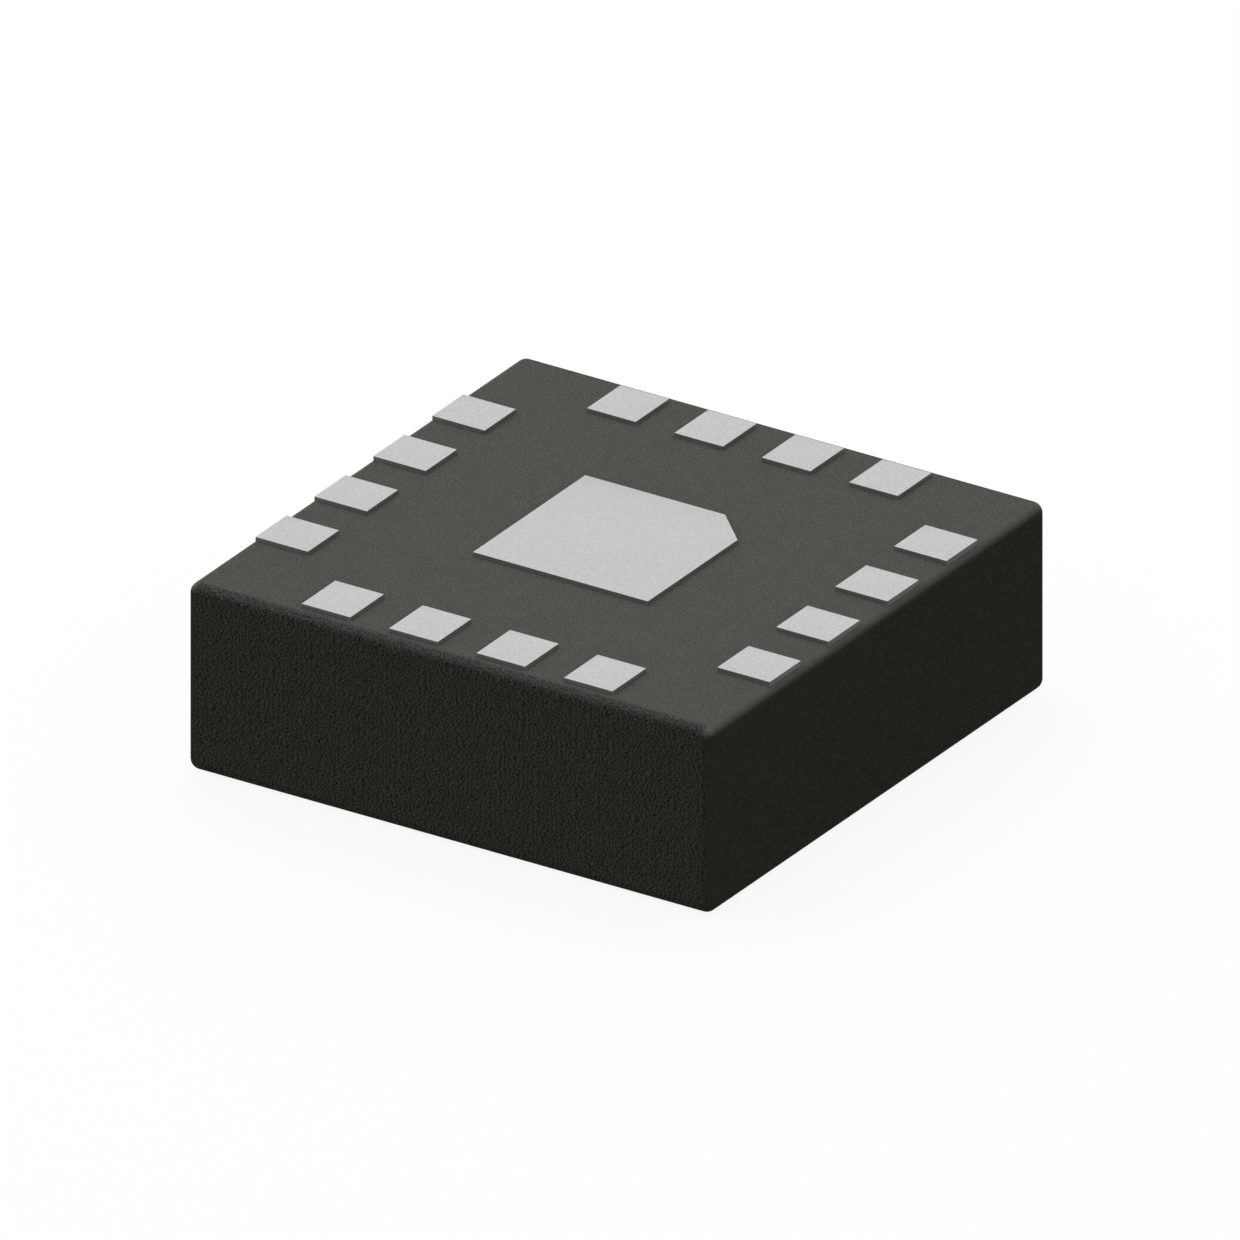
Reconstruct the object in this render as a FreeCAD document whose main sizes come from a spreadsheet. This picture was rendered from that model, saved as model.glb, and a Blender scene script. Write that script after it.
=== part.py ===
import FreeCAD, Part
import math
import os
import Sketcher

# Quad flat no-lead chip: a moulded block with sixteen lands round an exposed pad.
# It lies on its marking face, land side up. The origin is the middle of the marking face.
# Rows of lands run along X beside the -Y and +Y faces, columns along Y beside the -X and +X faces.

document = FreeCAD.newDocument("qfn_chip")

# Driving dimensions in millimetres
SIZES = {
    # Moulded block, with the dot beside land 1 sunk in its marking face
    "mould_length": 3.0,
    "mould_width": 3.0,
    "mould_height": 1.0,
    "mould_edge_round": 0.057,
    "pin_mark_diameter": 0.3,
    "pin_mark_depth": 0.02,
    "pin_mark_from_faces": 0.4,
    # Etched lead frame: full thickness under lands and pad, thinner in the rims that lock it in the mould
    "frame_thickness": 0.2,
    "rim_thickness": 0.1,
    "land_proud": 0.02,
    # Lands, and how far the leads widen below them
    "land_length": 0.3,
    "land_width": 0.278,
    "row_pitch": 0.5,
    "row_from_face": 0.079,
    "column_pitch": 0.525,
    "column_from_face": 0.029,
    "lead_side_rim": 0.04,
    "lead_inner_rim": 0.1,
    # Exposed pad, with the cut corner that points at land 1
    "pad_length": 1.0,
    "pad_width": 1.0,
    "pad_corner_cut": 0.2,
    "pad_rim": 0.2,
    # Silicon die and the layer that holds it on the back of the pad
    "die_length": 1.0,
    "die_width": 1.0,
    "die_thickness": 0.25,
    "attach_thickness": 0.025,
    "attach_spread": 0.04,
    # Bond wires: ball on the die, straight neck, bend, level shoulder, then one slope to the lead
    "wire_diameter": 0.025,
    "ball_diameter": 0.06,
    "ball_height": 0.012,
    "wire_neck": 0.07,
    "wire_bend": 0.03,
    "wire_shoulder": 0.06,
    "bond_pitch": 0.18,
    "bond_from_die_edge": 0.07,
    "stitch_from_lead_end": 0.15,
}

sheet = document.addObject("Spreadsheet::Sheet", "Sizes")
for row, (alias, value) in enumerate(SIZES.items(), start=1):
    sheet.set(f"A{row}", alias)
    sheet.set(f"B{row}", str(value))
    sheet.setAlias(f"B{row}", alias)
document.recompute()

# Heights above the marking face, as formulas on the sheet
LAND_FACE = "(Sizes.mould_height + Sizes.land_proud)"
BOND_FACE = f"({LAND_FACE} - Sizes.frame_thickness)"
ATTACH_FACE = f"({BOND_FACE} - Sizes.attach_thickness)"
DIE_FACE = f"({ATTACH_FACE} - Sizes.die_thickness)"

# The four sides in the order of the land numbers, clockwise as seen from the land side.
# Each has the directions that point out of its face and along it, and names of the sizes it uses.
LANDS_PER_SIDE = 4
WIRE_SIDES = 12
COLUMN = {"mould": "Sizes.mould_length", "die": "Sizes.die_length", "lands": "column"}
ROW = {"mould": "Sizes.mould_width", "die": "Sizes.die_width", "lands": "row"}
SIDES = [
    {"out": (1, 0), "along": (0, -1), **COLUMN},
    {"out": (0, -1), "along": (-1, 0), **ROW},
    {"out": (-1, 0), "along": (0, 1), **COLUMN},
    {"out": (0, 1), "along": (1, 0), **ROW},
]


# Helpers for bodies and sketches
def new_body(name):
    body = document.addObject("PartDesign::Body", name)
    body.Label = name
    return body


def new_sketch(body, name, plane="XY_Plane", height="0"):
    sketch = body.newObject("Sketcher::SketchObject", f"{body.Name}_{name}")
    origin_plane = next(item for item in body.Origin.OriginFeatures if item.Role == plane)
    sketch.AttachmentSupport = [(origin_plane, "")]
    sketch.MapMode = "FlatFace"
    sketch.setExpression("AttachmentOffset.Base.z", height)
    return sketch


def bind(sketch, formula, kind, *elements):
    """Add a sketch constraint and bind its value to the formula."""
    value_now = float(sketch.evalExpression(formula))
    index = sketch.addConstraint(Sketcher.Constraint(kind, *elements, value_now))
    sketch.setExpression(f"Constraints[{index}]", formula)


def pin_point(sketch, geometry, point, x, y):
    """Hold one point of a sketch at formulas x and y from the sketch's origin."""
    bind(sketch, x, "DistanceX", -1, 1, geometry, point)
    bind(sketch, y, "DistanceY", -1, 1, geometry, point)


def draw_lines(sketch, points, closed=True):
    """Join points, given as pairs of formulas, by straight lines."""
    values_now = [[float(sketch.evalExpression(formula)) for formula in point] for point in points]
    places = [FreeCAD.Vector(x, y, 0) for x, y in values_now]
    line_count = len(points) if closed else len(points) - 1
    for index in range(line_count):
        sketch.addGeometry(Part.LineSegment(places[index], places[(index + 1) % len(points)]))
        pin_point(sketch, index, 1, *points[index])
    for index in range(line_count - 1):
        sketch.addConstraint(Sketcher.Constraint("Coincident", index, 2, index + 1, 1))
    if closed:
        sketch.addConstraint(Sketcher.Constraint("Coincident", line_count - 1, 2, 0, 1))
    else:
        pin_point(sketch, line_count - 1, 2, *points[-1])


def draw_rectangle(sketch, left, right, low, high):
    draw_lines(sketch, [(left, low), (right, low), (right, high), (left, high)])


def draw_centred_rectangle(sketch, length, width):
    draw_rectangle(sketch, f"-({length}) / 2", f"({length}) / 2", f"-({width}) / 2", f"({width}) / 2")


def draw_round_wire_section(sketch, diameter):
    """A regular outline of a few sides, because sixteen fully round wires and their beds are all facets."""
    corners = []
    for index in range(WIRE_SIDES):
        angle = f"{index * 360 / WIRE_SIDES} deg"
        corners.append((f"{diameter} / 2 * cos({angle})", f"{diameter} / 2 * sin({angle})"))
    draw_lines(sketch, corners)


def draw_circle(sketch, diameter, x="0", y="0"):
    radius_now = float(sketch.evalExpression(diameter)) / 2
    circle = Part.Circle(FreeCAD.Vector(0, 0, 0), FreeCAD.Vector(0, 0, 1), radius_now)
    index = sketch.addGeometry(circle)
    bind(sketch, diameter, "Diameter", index)
    pin_point(sketch, index, 3, x, y)


def add_pad(body, sketch, height, downwards=False):
    pad = body.newObject("PartDesign::Pad", f"{sketch.Name}_pad")
    pad.Profile = sketch
    pad.setExpression("Length", height)
    pad.Reversed = downwards
    return pad


def cut_pocket(body, sketch, depth, upwards):
    pocket = body.newObject("PartDesign::Pocket", f"{sketch.Name}_pocket")
    pocket.Profile = sketch
    pocket.setExpression("Length", depth)
    pocket.Reversed = upwards
    return pocket


def place_on_side(body, side, along, out, height, turn="0 deg"):
    """Put a body's origin at formulas along and out from the middle, its +Y turned out of the side."""
    for axis, along_part, out_part in zip("xy", side["along"], side["out"]):
        body.setExpression(f"Placement.Base.{axis}", f"{along_part} * ({along}) + {out_part} * ({out})")
    heading = math.degrees(math.atan2(side["along"][1], side["along"][0]))
    body.setExpression("Placement.Base.z", height)
    body.setExpression("Placement.Rotation.Angle", f"{heading} deg + {turn}")


# Leads: a land on top of a wider, thinner rim that hooks under the mould
def make_lead(number, side, step):
    body = new_body(f"lead_{number:02d}")
    half_width = "Sizes.land_width / 2"
    half_rim = f"({half_width} + Sizes.lead_side_rim)"
    land = new_sketch(body, "land")
    draw_rectangle(land, f"-{half_width}", half_width, "-Sizes.land_length", "0")
    add_pad(body, land, "Sizes.frame_thickness - Sizes.rim_thickness", downwards=True)
    rim = new_sketch(body, "rim", height="-Sizes.frame_thickness")
    draw_rectangle(rim, f"-{half_rim}", half_rim, "-Sizes.land_length - Sizes.lead_inner_rim", "0")
    add_pad(body, rim, "Sizes.rim_thickness")
    along = f"{step} * Sizes.{side['lands']}_pitch"
    out = f"{side['mould']} / 2 - Sizes.{side['lands']}_from_face"
    place_on_side(body, side, along, out, LAND_FACE)
    return body


# Exposed pad: a square with one cut corner, and the same outline larger all round as its rim
def draw_pad_outline(sketch, margin):
    """The pad's outline moved outwards by a margin, its corner cut staying parallel."""
    half_length = f"(Sizes.pad_length / 2 + {margin})"
    half_width = f"(Sizes.pad_width / 2 + {margin})"
    cut = f"(Sizes.pad_corner_cut + {margin} * (2 - sqrt(2)))"
    corners = [
        (f"-{half_length}", f"-{half_width}"),
        (half_length, f"-{half_width}"),
        (half_length, f"{half_width} - {cut}"),
        (f"{half_length} - {cut}", half_width),
        (f"-{half_length}", half_width),
    ]
    draw_lines(sketch, corners)


def make_exposed_pad():
    body = new_body("exposed_pad")
    land = new_sketch(body, "land")
    draw_pad_outline(land, "0")
    add_pad(body, land, "Sizes.frame_thickness - Sizes.rim_thickness", downwards=True)
    rim = new_sketch(body, "rim", height="-Sizes.frame_thickness")
    draw_pad_outline(rim, "Sizes.pad_rim")
    add_pad(body, rim, "Sizes.rim_thickness")
    body.setExpression("Placement.Base.z", LAND_FACE)
    return body


# Die and die attach, on the back of the exposed pad
def make_plate(name, length, width, thickness, low_face):
    body = new_body(name)
    outline = new_sketch(body, "outline")
    draw_centred_rectangle(outline, length, width)
    add_pad(body, outline, thickness)
    body.setExpression("Placement.Base.z", low_face)
    return body


def make_die():
    return make_plate("silicon_die", "Sizes.die_length", "Sizes.die_width", "Sizes.die_thickness", DIE_FACE)


def make_die_attach():
    length = "Sizes.die_length + 2 * Sizes.attach_spread"
    width = "Sizes.die_width + 2 * Sizes.attach_spread"
    return make_plate("die_attach", length, width, "Sizes.attach_thickness", ATTACH_FACE)


# Bond wires: each lies in its own upright plane, from its ball on the die to its stitch on the lead
def make_bond_wire(number, side, step):
    body = new_body(f"bond_wire_{number:02d}")
    ball_along = f"{step} * Sizes.bond_pitch"
    ball_out = f"({side['die']} / 2 - Sizes.bond_from_die_edge)"
    stitch_along = f"{step} * Sizes.{side['lands']}_pitch"
    lead_end = f"{side['mould']} / 2 - Sizes.{side['lands']}_from_face - Sizes.land_length - Sizes.lead_inner_rim"
    stitch_out = f"({lead_end} + Sizes.stitch_from_lead_end)"
    run_along = f"({stitch_along} - {ball_along})"
    run_out = f"({stitch_out} - {ball_out})"
    span = f"hypot({run_along}; {run_out})"
    rise = "(Sizes.die_thickness + Sizes.attach_thickness)"
    depth = "(Sizes.wire_neck + Sizes.wire_bend)"
    reach = "(Sizes.wire_bend + Sizes.wire_shoulder)"
    slope = f"(({rise} + {depth}) / ({span} - {reach}))"

    ball = new_sketch(body, "ball")
    draw_round_wire_section(ball, "Sizes.ball_diameter")
    add_pad(body, ball, "Sizes.ball_height", downwards=True)

    # The slope runs a little past the lead's face and is trimmed flat there
    overrun = "4 * Sizes.wire_diameter"
    section = new_sketch(body, "section")
    draw_round_wire_section(section, "Sizes.wire_diameter")
    route = new_sketch(body, "route", plane="XZ_Plane")
    knees = [
        ("0", "0"),
        ("0", "-Sizes.wire_neck"),
        ("Sizes.wire_bend * (1 - cos(45 deg))", "-Sizes.wire_neck - Sizes.wire_bend * sin(45 deg)"),
        ("Sizes.wire_bend", f"-{depth}"),
        (reach, f"-{depth}"),
        (f"{span} + {overrun}", f"{rise} + {slope} * {overrun}"),
    ]
    draw_lines(route, knees, closed=False)
    run = body.newObject("PartDesign::AdditivePipe", f"{body.Name}_run")
    run.Profile = (section, [""])
    run.Spine = (route, [""])
    run.Transition = "Right corner"

    trim = new_sketch(body, "trim", height=rise)
    draw_rectangle(trim, f"{span} - {overrun}", f"{span} + 2 * {overrun}", f"-{overrun}", overrun)
    cut_pocket(body, trim, f"{slope} * {overrun} + {overrun}", upwards=True)

    place_on_side(body, side, ball_along, ball_out, DIE_FACE, turn=f"atan2({run_out}; {run_along})")
    return body


# Moulded block: rounded on every edge, with the dot that marks land 1 in its marking face
def make_mould_block():
    body = new_body("mould_block")
    outline = new_sketch(body, "outline")
    draw_centred_rectangle(outline, "Sizes.mould_length", "Sizes.mould_width")
    block = add_pad(body, outline, "Sizes.mould_height")
    document.recompute()
    rounding = body.newObject("PartDesign::Fillet", "mould_edges")
    rounding.Base = (block, [f"Edge{index}" for index in range(1, len(block.Shape.Edges) + 1)])
    rounding.setExpression("Radius", "Sizes.mould_edge_round")
    mark = new_sketch(body, "pin_mark")
    mark_x = "Sizes.mould_length / 2 - Sizes.pin_mark_from_faces"
    mark_y = "Sizes.mould_width / 2 - Sizes.pin_mark_from_faces"
    draw_circle(mark, "Sizes.pin_mark_diameter", mark_x, mark_y)
    cut_pocket(body, mark, "Sizes.pin_mark_depth", upwards=True)
    return body


def make_mould(block, embedded_groups):
    """The mould fills every space that the pieces inside leave, so each piece cuts its own bed in it.

    The pieces of one group don't touch each other.
    """
    mould = block
    for index, pieces in enumerate(embedded_groups, start=1):
        group = document.addObject("Part::Compound", f"embedded_group_{index}")
        group.Links = pieces
        rest = document.addObject("Part::Cut", f"mould_around_group_{index}")
        rest.Base = mould
        rest.Tool = group
        mould = rest
    mould.Label = "mould_compound"
    return mould


# Assembly
leads = []
wires = []
for side_index, side in enumerate(SIDES):
    for place in range(LANDS_PER_SIDE):
        number = side_index * LANDS_PER_SIDE + place + 1
        step = place - (LANDS_PER_SIDE - 1) / 2
        leads.append(make_lead(number, side, step))
        wires.append(make_bond_wire(number, side, step))
exposed_pad = make_exposed_pad()
die_attach = make_die_attach()
silicon_die = make_die()
mould_block = make_mould_block()
mould = make_mould(mould_block, [[exposed_pad, silicon_die, *leads], [die_attach, *wires]])
document.recompute()

# Nothing is written unless every object and every shape is sound
for item in document.Objects:
    if "Invalid" in item.State or "Error" in item.State:
        raise RuntimeError(f"{item.Label} did not build: {item.State}")

subparts = [mould, exposed_pad, die_attach, silicon_die, *leads, *wires]
for subpart in subparts:
    shape = subpart.Shape
    if shape.isNull() or not shape.isValid() or len(shape.Solids) != 1:
        raise RuntimeError(f"{subpart.Label} is not one valid solid")
if mould.Shape.Volume >= mould_block.Shape.Volume:
    raise RuntimeError("the pieces inside cut no bed in the mould")

os.makedirs("parts", exist_ok=True)
for subpart in subparts:
    subpart.Shape.exportStep(f"parts/{subpart.Label}.step")
    print(f"{subpart.Label}: {subpart.Shape.Volume:.6f} cubic millimetres")
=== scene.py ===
# %% [markdown]
# # A no-lead chip package, lands up
#
# The chip is a black moulded block, three millimetres square and one high. It lies on its marking face.
# Sixteen tinned lands and one exposed pad with a cut corner stand just proud of the side that looks up.
# Inside the block are the silicon die, the layer that holds it and sixteen gold bond wires.
#
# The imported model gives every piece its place, so this lesson starts by loading it.
# Each step then says what a piece or a finish is, how it could be made, and why it is made this way.

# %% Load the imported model
import math

import bmesh
import bpy
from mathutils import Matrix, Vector


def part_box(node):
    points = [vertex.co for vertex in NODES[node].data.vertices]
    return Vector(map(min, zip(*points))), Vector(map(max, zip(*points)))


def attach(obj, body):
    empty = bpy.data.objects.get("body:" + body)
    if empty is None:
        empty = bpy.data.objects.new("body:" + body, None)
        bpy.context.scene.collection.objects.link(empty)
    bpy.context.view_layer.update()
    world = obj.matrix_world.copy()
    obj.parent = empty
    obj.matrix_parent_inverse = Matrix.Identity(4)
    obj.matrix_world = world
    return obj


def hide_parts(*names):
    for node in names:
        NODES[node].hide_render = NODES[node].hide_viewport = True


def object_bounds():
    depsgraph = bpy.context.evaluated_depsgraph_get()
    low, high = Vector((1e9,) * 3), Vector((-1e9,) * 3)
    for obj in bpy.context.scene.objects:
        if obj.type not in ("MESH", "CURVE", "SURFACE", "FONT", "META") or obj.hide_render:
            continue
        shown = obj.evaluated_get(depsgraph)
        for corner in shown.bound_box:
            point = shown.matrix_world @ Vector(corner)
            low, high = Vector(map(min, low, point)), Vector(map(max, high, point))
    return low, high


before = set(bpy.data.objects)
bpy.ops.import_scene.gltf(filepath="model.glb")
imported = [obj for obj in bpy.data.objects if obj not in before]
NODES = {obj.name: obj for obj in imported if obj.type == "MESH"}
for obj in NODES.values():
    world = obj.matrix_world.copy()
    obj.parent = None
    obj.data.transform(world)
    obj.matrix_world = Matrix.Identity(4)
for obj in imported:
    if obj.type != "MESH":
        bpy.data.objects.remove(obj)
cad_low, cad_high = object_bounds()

MM = 0.001
BODY = "root"
print("The package measures", [round(side / MM, 3) for side in cad_high - cad_low], "mm")

# %% [markdown]
# ## The sizes that the looks need
#
# The camera and the lamp aim at the middle of the block, and the finishes go to the leads and wires by name.
# Those numbers and names could be typed in again, but then they could drift away from the model.
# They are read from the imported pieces, so a change of size moves the camera and the lamp with it.

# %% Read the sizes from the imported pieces
mould_low, mould_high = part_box("mould_compound")
pad_low, pad_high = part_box("exposed_pad")
MOULD_CENTRE = (mould_low + mould_high) / 2
LEADS = sorted(name for name in NODES if name.startswith("lead_"))
WIRES = sorted(name for name in NODES if name.startswith("bond_wire_"))
print("The pad stands", round((pad_high.z - mould_high.z) / MM, 4), "mm proud of the mould")
print(len(LEADS), "leads and", len(WIRES), "bond wires")

# %% [markdown]
# ## The camera
#
# The picture has no perspective: opposite edges of the block stay parallel.
# A very long lens far away would come close, but an orthographic camera is exact.
# It looks from the front right, about 26 degrees up from the floor, and aims just above the block's middle.
# The aim is a point in the scene, so the camera needs no lens shift.

# %% Camera
VIEW_AZIMUTH = math.radians(32.703)
VIEW_ELEVATION = math.radians(26.093)
VIEW_WIDTH = 5.9687 * MM
AIM_RIGHT = 0.0166 * MM
AIM_UP = 0.0731 * MM
CAMERA_DISTANCE = 40 * MM
CAMERA_REACH = 400 * MM


def direction(azimuth, elevation):
    """A unit vector that points up from the block, turned about Z from the front."""
    return Vector((
        math.sin(azimuth) * math.cos(elevation),
        -math.cos(azimuth) * math.cos(elevation),
        math.sin(elevation),
    ))


def hang(thing, away, distance, target):
    """Put a camera or a lamp away from the target, looking back at it."""
    thing.location = target + away * distance
    thing.rotation_mode = "QUATERNION"
    thing.rotation_quaternion = (-away).to_track_quat("-Z", "Y")
    bpy.context.scene.collection.objects.link(thing)


screen_right = Vector((math.cos(VIEW_AZIMUTH), math.sin(VIEW_AZIMUTH), 0))
to_camera = direction(VIEW_AZIMUTH, VIEW_ELEVATION)
screen_up = to_camera.cross(screen_right)
aim = MOULD_CENTRE + screen_right * AIM_RIGHT + screen_up * AIM_UP

camera_data = bpy.data.cameras.new("camera")
camera_data.type = "ORTHO"
camera_data.ortho_scale = VIEW_WIDTH
camera_data.clip_start = MM
camera_data.clip_end = CAMERA_REACH
camera = bpy.data.objects.new("camera", camera_data)
hang(camera, to_camera, CAMERA_DISTANCE, aim)
bpy.context.scene.camera = camera
bpy.context.scene.view_settings.view_transform = "Standard"
print("The camera sees", round(VIEW_WIDTH / MM, 4), "mm from side to side")

# %% [markdown]
# ## Small helpers for shader nodes
#
# Every finish below is a chain of nodes. Adding a node and joining it up takes several lines each time.
# Two short functions do it, so that a material reads as a list of what it is made of.

# %% Node helpers
def add_node(tree, kind, inputs=None, **settings):
    """Add one node, set its own settings, then set or link its inputs."""
    node = tree.nodes.new(kind)
    for name, value in settings.items():
        setattr(node, name, value)
    for name, value in (inputs or {}).items():
        if isinstance(value, bpy.types.NodeSocket):
            tree.links.new(value, node.inputs[name])
        else:
            node.inputs[name].default_value = value
    return node


def math_node(tree, operation, first, second=0.0):
    """A Math node's result, from sockets or plain numbers."""
    return add_node(tree, "ShaderNodeMath", {0: first, 1: second}, operation=operation).outputs[0]


# %% [markdown]
# ## The studio
#
# The package lies on a white surface with no horizon.
# A large floor plane fills the view. The camera and mirror-like rays see it white, but it passes little
# light on, because in the picture the upright faces are far darker than the side that looks up.
# A small share of it is an ordinary matt surface, and that share keeps the soft shadow under the block.
# The world is made in the same way: white to look at, and dimmer as a light.

# %% Floor
FLOOR_HALF_SIDE = 150 * MM
FLOOR_GAP = 0.001 * MM
SHADOW_SHARE = 0.10
FLOOR_BOUNCE = 0.04


def grey(value):
    """A colour with three equal parts, fully opaque."""
    return (value, value, value, 1.0)


WHITE = grey(1.0)


def choose_by_ray(tree, as_light, as_seen, output):
    """Join up one shader as the light that matt surfaces pass on, and another as what is seen."""
    path = add_node(tree, "ShaderNodeLightPath")
    seen = math_node(tree, "MAXIMUM", path.outputs["Is Camera Ray"], path.outputs["Is Glossy Ray"])
    seen = math_node(tree, "MAXIMUM", seen, path.outputs["Is Transmission Ray"])
    choice = add_node(tree, "ShaderNodeMixShader", {0: seen, 1: as_light.outputs[0], 2: as_seen.outputs[0]})
    add_node(tree, output, {"Surface": choice.outputs[0]})


floor_material = bpy.data.materials.new("white_surface")
floor_material.use_nodes = True
floor_material.cycles.emission_sampling = "NONE"
tree = floor_material.node_tree
tree.nodes.clear()
glow = add_node(tree, "ShaderNodeEmission", {"Color": WHITE, "Strength": 1.0})
matt = add_node(tree, "ShaderNodeBsdfDiffuse", {"Color": WHITE})
dark = add_node(tree, "ShaderNodeBsdfDiffuse", {"Color": grey(FLOOR_BOUNCE)})
pale = add_node(tree, "ShaderNodeMixShader", {0: SHADOW_SHARE, 1: glow.outputs[0], 2: matt.outputs[0]})
choose_by_ray(tree, dark, pale, "ShaderNodeOutputMaterial")

floor_z = cad_low.z - FLOOR_GAP
corner_signs = ((-1, -1), (1, -1), (1, 1), (-1, 1))
floor_corners = [(x * FLOOR_HALF_SIDE, y * FLOOR_HALF_SIDE, floor_z) for x, y in corner_signs]
floor_mesh = bpy.data.meshes.new("floor")
floor_mesh.from_pydata(floor_corners, [], [(0, 1, 2, 3)])
floor_mesh.materials.append(floor_material)
floor = bpy.data.objects.new("floor", floor_mesh)
bpy.context.scene.collection.objects.link(floor)
print("The floor lies at", round(floor_z / MM, 4), "mm")

# %% World
AMBIENT = 0.60

world = bpy.data.worlds.new("studio")
world.use_nodes = True
tree = world.node_tree
tree.nodes.clear()
dim = add_node(tree, "ShaderNodeBackground", {"Color": WHITE, "Strength": AMBIENT})
white = add_node(tree, "ShaderNodeBackground", {"Color": WHITE, "Strength": 1.0})
choose_by_ray(tree, dim, white, "ShaderNodeOutputWorld")
bpy.context.scene.world = world
print("The world lights the block at", AMBIENT, "of white")

# %% [markdown]
# ## The lamp
#
# One very broad soft box hangs above the package, behind it and a little to the camera's left.
# The upright faces that the camera sees are then in shade, and nearly all their light is the world's.
# A sun would throw hard shadows, and a small lamp near by would light one corner more than another.
# The box is wider than its distance, so its light is nearly the same over the whole block.
# The tin already mirrors the white around it. With the lamp on top it would clip to pure white,
# so the lamp is left out of what a glossy surface reflects.

# %% Soft box
LAMP_SIDE = 63 * MM
LAMP_DISTANCE = 40 * MM
LAMP_AZIMUTH = math.radians(232)
LAMP_ELEVATION = math.radians(55)
LAMP_RADIANCE = 1.056

to_lamp = direction(LAMP_AZIMUTH, LAMP_ELEVATION)
lamp_data = bpy.data.lights.new("soft_box", "AREA")
lamp_data.shape = "SQUARE"
lamp_data.size = LAMP_SIDE
lamp_data.energy = LAMP_RADIANCE * math.pi * LAMP_SIDE ** 2
lamp = bpy.data.objects.new("soft_box", lamp_data)
lamp.visible_glossy = False
hang(lamp, to_lamp, LAMP_DISTANCE, MOULD_CENTRE)
print("The soft box gives", round(lamp_data.energy, 4), "watts")

# %% [markdown]
# ## Moulding compound: colour by facing
#
# The block is epoxy filled with glass powder, so its surface is matt and finely grained.
# The side with the lands is a warm dark grey. The upright faces are darker and browner, partly as their own
# colour and partly as painted shade, and the stroked ones are painted lighter than the smooth ones as
# painted light.
# Three materials on three groups of faces could do this, but their borders would show on the rounded edges.
# The surface's own normal says which way a point faces, so one material can pass softly between them.

# %% Helpers for a finish
def new_material(name):
    """A new material, with its node tree, its Principled shader and a Texture Coordinate node."""
    material = bpy.data.materials.new(name)
    material.use_nodes = True
    tree = material.node_tree
    return material, tree, tree.nodes["Principled BSDF"], add_node(tree, "ShaderNodeTexCoord")


def smooth_step(tree, value, span):
    """0 below the span, 1 above it and a soft sweep in between."""
    reading = {"Value": value, "From Min": span[0], "From Max": span[1]}
    step = add_node(tree, "ShaderNodeMapRange", reading, interpolation_type="SMOOTHSTEP")
    return step.outputs["Result"]


def blend_numbers(tree, share, first, second):
    """A number that goes from the first to the second as the share goes from 0 to 1."""
    blend = add_node(tree, "ShaderNodeMix", {0: share, "A": first, "B": second}, data_type="FLOAT")
    return blend.outputs[0]


def blend_colours(tree, share, first, second):
    """A colour that goes from the first to the second as the share goes from 0 to 1."""
    blend = add_node(tree, "ShaderNodeMix", {0: share, "A": first, "B": second}, data_type="RGBA")
    return blend.outputs["Result"]


def multiply_vectors(tree, first, second):
    """Two colours or two points multiplied part by part."""
    product = add_node(tree, "ShaderNodeVectorMath", {0: first, 1: second}, operation="MULTIPLY")
    return product.outputs["Vector"]


# %% Moulding compound: which way a point faces
# The upright colours hold painted shade, and the stroked colour is painted lighter than the smooth one as
# painted light.
LAND_SIDE_COLOUR = (0.0865, 0.0845, 0.0762, 1.0)
STROKED_COLOUR_WITH_PAINTED_LIGHT = (0.0572, 0.0546, 0.0446, 1.0)
SMOOTH_COLOUR_WITH_PAINTED_LIGHT = (0.0416, 0.0396, 0.0319, 1.0)
LEVEL_SPAN = (0.15, 0.85)
LEAVES_LEVEL_SPAN = (0.02, 0.35)
LEAVES_Y_SPAN = (0.02, 0.25)


def faces_along(tree, facing, axis, span):
    """0 to 1 as the surface turns to face up or down the axis."""
    return smooth_step(tree, math_node(tree, "ABSOLUTE", facing.outputs[axis]), span)


def all_but(tree, share):
    """What is left when the share is taken from 1."""
    return math_node(tree, "SUBTRACT", 1.0, share)


compound, tree, shader, place = new_material("matt_moulding_compound")
facing = add_node(tree, "ShaderNodeSeparateXYZ", {0: place.outputs["Normal"]})
level = faces_along(tree, facing, "Z", LEVEL_SPAN)
not_aside = all_but(tree, faces_along(tree, facing, "X", LEAVES_Y_SPAN))
stroked = math_node(tree, "MULTIPLY", faces_along(tree, facing, "Y", LEAVES_LEVEL_SPAN), not_aside)
upright = blend_colours(tree, stroked, SMOOTH_COLOUR_WITH_PAINTED_LIGHT, STROKED_COLOUR_WITH_PAINTED_LIGHT)
ground = blend_colours(tree, level, upright, LAND_SIDE_COLOUR)
print("The block's ground colour takes", len(tree.nodes), "nodes")

# %% [markdown]
# ## Moulding compound: painted light on the rounded edges
#
# All the edges of the block are rounded, and in the picture the two directions of the upper ones differ.
# Along the smooth faces the rounding carries a painted highlight and a smoother grain, up to a painted
# bright spot at the corner.
# Along the stroked faces it carries painted shade with a cool painted reflection, and their coarse grain
# runs on over it.
# The four upright edges carry a painted highlight, a shade lighter than the faces that meet there.
# Each is a tint of painted light on the colour, which fades in and out with the way the surface faces.

# %% Moulding compound: painted light on the rounded edges
# Painted light: a painted highlight along the smooth faces' top edges, a brighter painted highlight at the
# corner, painted shade with a cool painted reflection along the stroked faces' top edges, and a painted
# highlight on the upright edges.
EDGE_HIGHLIGHT_TINT = grey(1.18)
CORNER_HIGHLIGHT_TINT = grey(1.35)
STROKED_EDGE_SHADE_TINT = (0.735, 0.74, 0.765, 1.0)
UPRIGHT_EDGE_HIGHLIGHT_TINT = grey(1.13)
EDGE_HIGHLIGHT_SIDE_SPAN = (0.05, 0.45)
EDGE_HIGHLIGHT_UP_SPAN = (0.2, 0.45)
CORNER_SIDE_SPAN = (0.05, 0.35)
STROKED_UP_SPAN = (0.0, 0.4)

# These masks place the painted highlights and the painted shade on the rounded edges.
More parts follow.
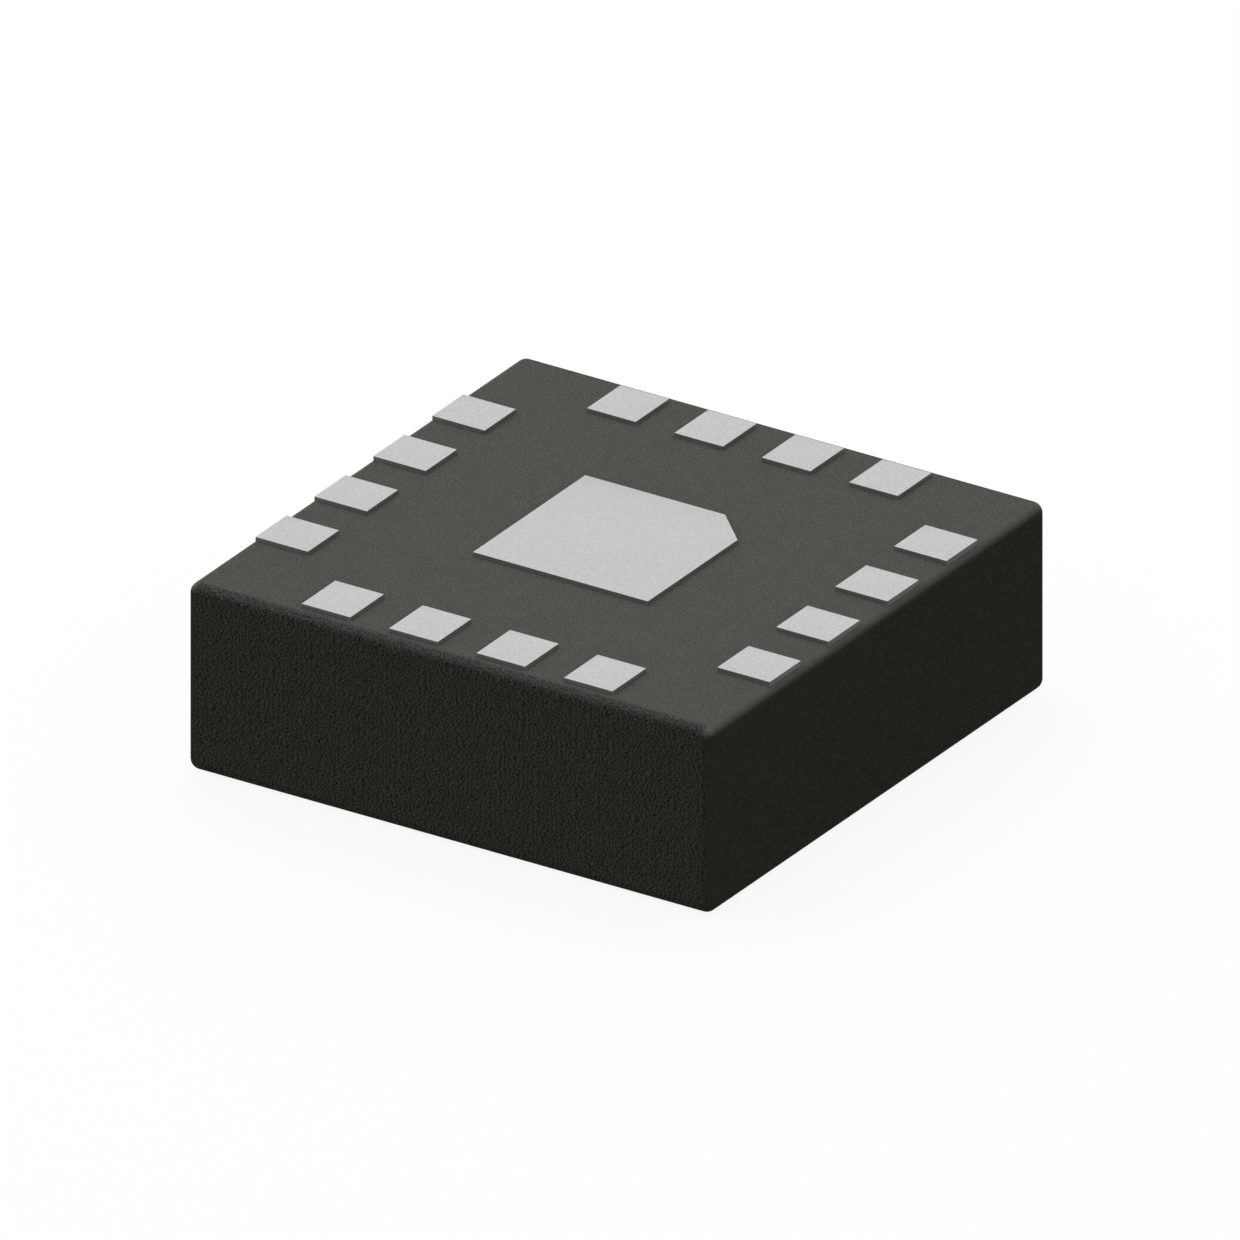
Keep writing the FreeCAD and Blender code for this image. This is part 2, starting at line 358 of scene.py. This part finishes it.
edge_highlight_up = smooth_step(tree, facing.outputs["Z"], EDGE_HIGHLIGHT_UP_SPAN)
edge_highlight = math_node(tree, "MULTIPLY", faces_along(tree, facing, "X", EDGE_HIGHLIGHT_SIDE_SPAN), edge_highlight_up)
stroked_up = smooth_step(tree, facing.outputs["Z"], STROKED_UP_SPAN)
stroked_edge_shade = math_node(tree, "MULTIPLY", stroked, stroked_up)
turned_to_x = faces_along(tree, facing, "X", CORNER_SIDE_SPAN)
turned_to_y = faces_along(tree, facing, "Y", CORNER_SIDE_SPAN)
corner = math_node(tree, "MULTIPLY", edge_highlight, turned_to_y)
turned_to_both = math_node(tree, "MULTIPLY", turned_to_x, turned_to_y)
upright_edge_highlight = math_node(tree, "MULTIPLY", turned_to_both, all_but(tree, level))
painted_light_tints = ((edge_highlight, EDGE_HIGHLIGHT_TINT), (corner, CORNER_HIGHLIGHT_TINT), (stroked_edge_shade, STROKED_EDGE_SHADE_TINT),
         (upright_edge_highlight, UPRIGHT_EDGE_HIGHLIGHT_TINT))
tinted = ground
for share, tint in painted_light_tints:
    tinted = multiply_vectors(tree, tinted, blend_colours(tree, share, WHITE, tint))
print("With its rounded edges it takes", len(tree.nodes), "nodes")

# %% [markdown]
# ## Moulding compound: grain and strokes
#
# The grain has two noises. The fine one is about as large as the glass grains near the surface.
# The coarse one is a faint cloudiness that keeps the surface from looking printed.
# The faces that look along Y also carry short wiggly upright strokes.
# An image could hold all this, but noise and band textures need no picture and stay sharp at any distance.

# %% Moulding compound: grain
LAND_SIDE_GRAIN = [0.011 * MM] * 3
UPRIGHT_GRAIN = [0.0052 * MM, 0.0105 * MM, 0.0082 * MM]
CLOUD = [0.06 * MM] * 3
LAND_SIDE_CONTRAST = 0.90
SMOOTH_FACE_CONTRAST = 1.12
# The grain is smoother under the painted edge highlight.
EDGE_HIGHLIGHT_CONTRAST = 0.40
STROKED_FACE_CONTRAST = 2.7
STROKED_EDGE_CONTRAST = 2.6
CLOUD_CONTRAST = 0.12
# Noise and bands both swing between 0 and 1
HALF_SWING = 0.5


def noise_about_zero(tree, place, size, detail=0.0):
    """Noise that swings about zero, with features of the given length along each axis."""
    spread = multiply_vectors(tree, place.outputs["Object"], [1 / length for length in size])
    noise = add_node(tree, "ShaderNodeTexNoise", {"Vector": spread, "Scale": 1.0, "Detail": detail})
    return math_node(tree, "SUBTRACT", noise.outputs["Fac"], HALF_SWING)


plain_contrast = blend_numbers(tree, level, SMOOTH_FACE_CONTRAST, LAND_SIDE_CONTRAST)
highlight_band_contrast = blend_numbers(tree, edge_highlight, plain_contrast, EDGE_HIGHLIGHT_CONTRAST)
stroked_contrast = blend_numbers(tree, stroked_up, STROKED_FACE_CONTRAST, STROKED_EDGE_CONTRAST)
contrast = blend_numbers(tree, stroked, highlight_band_contrast, stroked_contrast)
land_side = math_node(tree, "MULTIPLY", level, all_but(tree, stroked))
fine = blend_numbers(tree, land_side, noise_about_zero(tree, place, UPRIGHT_GRAIN),
                     noise_about_zero(tree, place, LAND_SIDE_GRAIN))
cloud = math_node(tree, "MULTIPLY", noise_about_zero(tree, place, CLOUD), CLOUD_CONTRAST)
grain = math_node(tree, "ADD", math_node(tree, "MULTIPLY", fine, contrast), cloud)
print("The grain measures", round(LAND_SIDE_GRAIN[0] / MM, 4), "mm on the land side")

# %% Moulding compound: strokes
STROKE_PITCH = 0.027 * MM
STROKE_CONTRAST = 0.62
STROKE_WIGGLE = 7.0
WIGGLE_SCALE = 1.2
# The bands follow X alone and their wiggle follows all three axes, so a squeezed Z cuts the strokes short
STROKE_SQUEEZE = (1.0, 1.0, 3.0)
STROKE_SPAN = (0.75, 0.97)
# A band texture repeats every 2 pi / 20 of its scaled length
BANDS_PER_UNIT = 20 / (2 * math.pi)

squeezed = multiply_vectors(tree, place.outputs["Object"], STROKE_SQUEEZE)
wave = {"Vector": squeezed, "Scale": 1 / (STROKE_PITCH * BANDS_PER_UNIT), "Distortion": STROKE_WIGGLE,
        "Detail": 0.0, "Detail Scale": WIGGLE_SCALE}
bands = add_node(tree, "ShaderNodeTexWave", wave, wave_type="BANDS", bands_direction="X", wave_profile="SIN")
stroke_swing = math_node(tree, "SUBTRACT", bands.outputs["Fac"], HALF_SWING)
stroke_share = math_node(tree, "MULTIPLY", faces_along(tree, facing, "Y", STROKE_SPAN), STROKE_CONTRAST)
strokes = math_node(tree, "MULTIPLY", stroke_swing, stroke_share)
relief = math_node(tree, "ADD", grain, strokes)
print("The strokes come every", round(STROKE_PITCH / MM, 4), "mm")

# %% [markdown]
# ## Moulding compound: the shader
#
# The same grain and strokes drive the tone and a very small bump, so that a dark grain is also a hollow.
# In the picture the block mirrors nothing of the white around it, not even at a low angle.
# Its roughness is therefore high and its specular level is close to nought.

# %% Moulding compound: tone, bump and gloss
BUMP_HEIGHT = 0.002 * MM
COMPOUND_ROUGHNESS = 0.75
COMPOUND_SPECULAR = 0.01


def toned(tree, colour, tone):
    """The colour made lighter or darker by the tone."""
    scaled = add_node(tree, "ShaderNodeVectorMath", {0: colour, "Scale": tone}, operation="SCALE")
    return scaled.outputs["Vector"]


bump = add_node(tree, "ShaderNodeBump", {"Strength": 1.0, "Distance": BUMP_HEIGHT, "Height": relief})
tree.links.new(toned(tree, tinted, math_node(tree, "ADD", relief, 1.0)), shader.inputs["Base Color"])
tree.links.new(bump.outputs["Normal"], shader.inputs["Normal"])
shader.inputs["Roughness"].default_value = COMPOUND_ROUGHNESS
shader.inputs["Specular IOR Level"].default_value = COMPOUND_SPECULAR
print("The moulding compound takes", len(tree.nodes), "nodes")

# %% [markdown]
# ## Tinned lands
#
# The lands and the pad are the outer faces of an etched copper lead frame, plated with matt tin.
# Matt tin reflects its surroundings as one soft even tone, so the shader is a metal with a broad gloss.
# Polished tin would be wrong here: it would mirror the studio, and each land would look different.
# The plating has a fine grain that changes its tone a little and its roughness a little.
#
# The walls of the lands are only a fiftieth of a millimetre high, and in the picture they are dark and dull.
# The same material turns from metal to a dull dark grey there, again by the surface's own normal, and that
# grey is painted shade on the tinned walls.
# The little gloss that is left lets the outer walls catch the white floor, which the inner ones do not see.

# %% Tin finish
TIN_COLOUR = (0.566, 0.566, 0.574, 1.0)
# The wall colour is a dull dark grey that paints the shade on the tinned walls.
WALL_PAINTED_SHADE_COLOUR = (0.115, 0.115, 0.1115, 1.0)
TIN_ROUGHNESS = (0.30, 0.42)
WALL_ROUGHNESS = 0.5
WALL_SPECULAR = 0.42
TIN_GRAIN = [0.0113 * MM] * 3
TIN_CONTRAST = 0.36
TIN_TOP_SPAN = (0.4, 0.8)


def mottle(tree, noise, contrast, roughness):
    """Two readings of one noise: a tone about 1, and a roughness between two limits."""
    tone = math_node(tree, "ADD", math_node(tree, "MULTIPLY", noise, contrast), 1.0)
    reading = {"Value": noise, "From Min": -HALF_SWING, "From Max": HALF_SWING,
               "To Min": roughness[0], "To Max": roughness[1]}
    return tone, add_node(tree, "ShaderNodeMapRange", reading).outputs["Result"]


tin, tree, shader, place = new_material("matt_tin")
facing = add_node(tree, "ShaderNodeSeparateXYZ", {0: place.outputs["Normal"]})
# The share facing up is tin; the walls take the painted shade colour and lose their metal.
tin_top_share = faces_along(tree, facing, "Z", TIN_TOP_SPAN)
tone, shine = mottle(tree, noise_about_zero(tree, place, TIN_GRAIN), TIN_CONTRAST, TIN_ROUGHNESS)
roughness = blend_numbers(tree, tin_top_share, WALL_ROUGHNESS, shine)
metal = blend_colours(tree, tin_top_share, WALL_PAINTED_SHADE_COLOUR, TIN_COLOUR)
tree.links.new(toned(tree, metal, tone), shader.inputs["Base Color"])
tree.links.new(tin_top_share, shader.inputs["Metallic"])
tree.links.new(roughness, shader.inputs["Roughness"])
shader.inputs["Specular IOR Level"].default_value = WALL_SPECULAR
print("The tin takes", len(tree.nodes), "nodes")

# %% [markdown]
# ## Rounded edges on the lead frame
#
# Etching and plating leave no razor edges, and a real edge catches a thin line of light.
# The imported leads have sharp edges. A Bevel modifier could round them, but it would round the inward
# corners too, where a lead steps back into the mould.
# Here each lead's own mesh is read into bmesh, its flat triangles are joined into whole faces,
# and only the outward edges are bevelled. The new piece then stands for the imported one.

# %% Rounding helper
EDGE_ROUND = 0.001 * MM
EDGE_STEPS = 3
ROUND_PROFILE = 0.5
WELD_GAP = 0.00001 * MM
FLAT_ANGLE = math.radians(1)


def rounded_copy(node, name, material):
    """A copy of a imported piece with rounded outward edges, which stands for it."""
    shape = bmesh.new()
    shape.from_mesh(NODES[node].data)
    bmesh.ops.remove_doubles(shape, verts=shape.verts, dist=WELD_GAP)
    bmesh.ops.dissolve_limit(shape, angle_limit=FLAT_ANGLE, verts=shape.verts, edges=shape.edges)
    outward = [edge for edge in shape.edges if edge.is_convex]
    for edge in shape.edges:
        edge.smooth = edge.is_convex
    bmesh.ops.bevel(shape, geom=outward, offset=EDGE_ROUND, offset_type="OFFSET", segments=EDGE_STEPS,
                    profile=ROUND_PROFILE, affect="EDGES", clamp_overlap=True)
    for face in shape.faces:
        face.smooth = True
    mesh = bpy.data.meshes.new(name)
    shape.to_mesh(mesh)
    shape.free()
    mesh.materials.append(material)
    piece = bpy.data.objects.new(name, mesh)
    bpy.context.scene.collection.objects.link(piece)
    even = piece.modifiers.new("even_shading", "WEIGHTED_NORMAL")
    even.keep_sharp = True
    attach(piece, BODY)
    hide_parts(node)
    return piece


# %% [markdown]
# ## Leads and exposed pad
#
# Sixteen leads and the pad come from one etched sheet, so one helper and one finish serve them all.
# Copying one lead sixteen times would also do, but each packed lead already lies in its own place.

# %% Leads and exposed pad
for node in LEADS:
    rounded_copy(node, "tinned_" + node, tin)
tinned_pad = rounded_copy("exposed_pad", "tinned_pad", tin)
print(len(LEADS), "leads rounded, and a pad of", len(tinned_pad.data.polygons), "faces")

# %% [markdown]
# ## The block
#
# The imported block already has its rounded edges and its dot, so its shape is kept as it is.
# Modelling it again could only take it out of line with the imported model. It takes the finish made above.

# %% The block takes its finish
def dress(node, material):
    """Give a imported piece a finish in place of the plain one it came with."""
    for slot in NODES[node].material_slots:
        slot.material = material


dress("mould_compound", compound)
print("The block has", len(NODES["mould_compound"].data.polygons), "faces")

# %% [markdown]
# ## Sealed inside: die, die attach and bond wires
#
# None of these can be seen once the package is moulded, but a cut model or another tool may show them.
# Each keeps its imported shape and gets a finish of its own, with a tone and a roughness that vary a little.
# The silicon is a dark bluish grey and shiny, the die attach is a dull silver paste and the wires are gold.

# %% Finishes of the inner pieces
SILICON = {"colour": (0.10, 0.11, 0.13), "grain": 0.05 * MM, "contrast": 0.2, "metallic": 0.6,
           "roughness": (0.12, 0.30)}
SILVER_PASTE = {"colour": (0.55, 0.54, 0.52), "grain": 0.02 * MM, "contrast": 0.4, "metallic": 0.3,
                "roughness": (0.55, 0.75)}
GOLD = {"colour": (0.93, 0.66, 0.24), "grain": 0.01 * MM, "contrast": 0.1, "metallic": 1.0,
        "roughness": (0.18, 0.28)}
GRAIN_DETAIL = 3.0


def mottled_finish(name, look):
    """A finish whose tone and roughness vary with one noise."""
    material, tree, shader, place = new_material(name)
    noise = noise_about_zero(tree, place, [look["grain"]] * 3, GRAIN_DETAIL)
    tone, shine = mottle(tree, noise, look["contrast"], look["roughness"])
    tree.links.new(toned(tree, look["colour"], tone), shader.inputs["Base Color"])
    tree.links.new(shine, shader.inputs["Roughness"])
    shader.inputs["Metallic"].default_value = look["metallic"]
    return material


gold = mottled_finish("gold_wire", GOLD)
inner_finishes = {wire: gold for wire in WIRES}
inner_finishes["silicon_die"] = mottled_finish("sawn_silicon", SILICON)
inner_finishes["die_attach"] = mottled_finish("silver_paste", SILVER_PASTE)
for node, finish in inner_finishes.items():
    dress(node, finish)
print(len(inner_finishes), "inner pieces take their finishes")

# %% [markdown]
#
# The size of the imported model is printed at the end.

# %% Print the packed size
print("Packed size", [round(side / MM, 4) for side in cad_high - cad_low], "mm")
